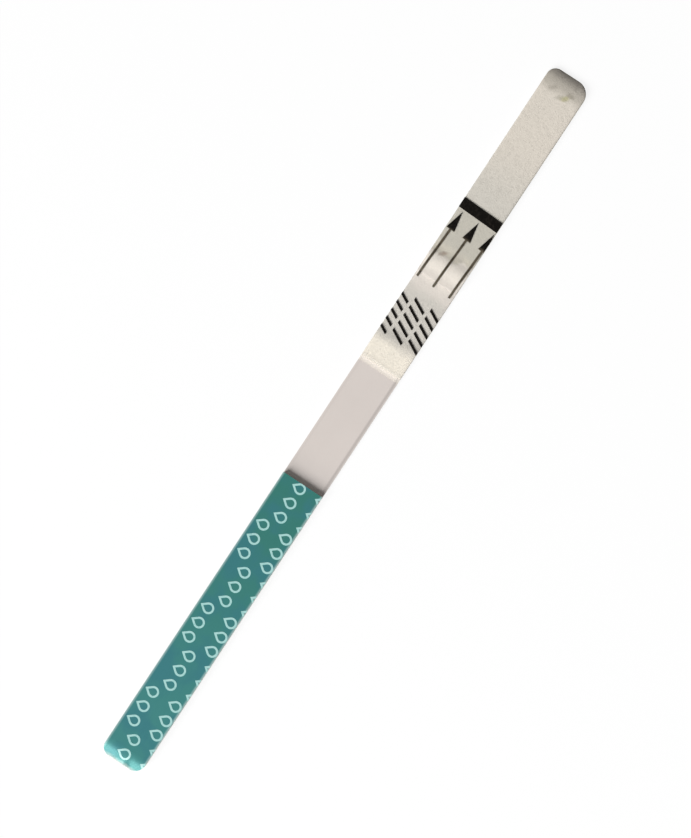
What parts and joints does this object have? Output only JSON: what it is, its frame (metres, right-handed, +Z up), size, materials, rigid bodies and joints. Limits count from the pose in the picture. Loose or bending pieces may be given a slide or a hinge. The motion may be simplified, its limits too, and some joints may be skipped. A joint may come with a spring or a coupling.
{
  "type": "dip test strip",
  "caption": "Flat lateral-flow dip strip: teal taped handle, bare white test window, clear film with a limit bar and arrows, and a bare absorbent dip end.",
  "frame": {"origin": "centre of the underside of the backing card", "axes": "+X along the strip towards the dip end, +Y across it, +Z up out of the test face"},
  "size_m": [0.106, 0.006, 0.0015],
  "materials": {
    "card_white": "satin",
    "membrane_white": "matte",
    "wick_fibre": "matte",
    "conjugate_fibre": "matte",
    "sample_fibre": "matte",
    "handle_teal": "gloss",
    "clear_film": "gloss",
    "black_ink": "satin",
    "white_ink": "satin"
  },
  "bodies": {
    "root": {"backing_card": "card_white", "nitrocellulose_membrane": "membrane_white", "absorbent_pad": "wick_fibre", "conjugate_pad": "conjugate_fibre", "sample_pad": "sample_fibre", "handle_tape": "handle_teal", "limit_line_film": "clear_film", "limit_bar": "black_ink", "dip_arrows": "black_ink", "limit_marks": "black_ink", "handle_marks": "white_ink"}
  },
  "joints": []
}
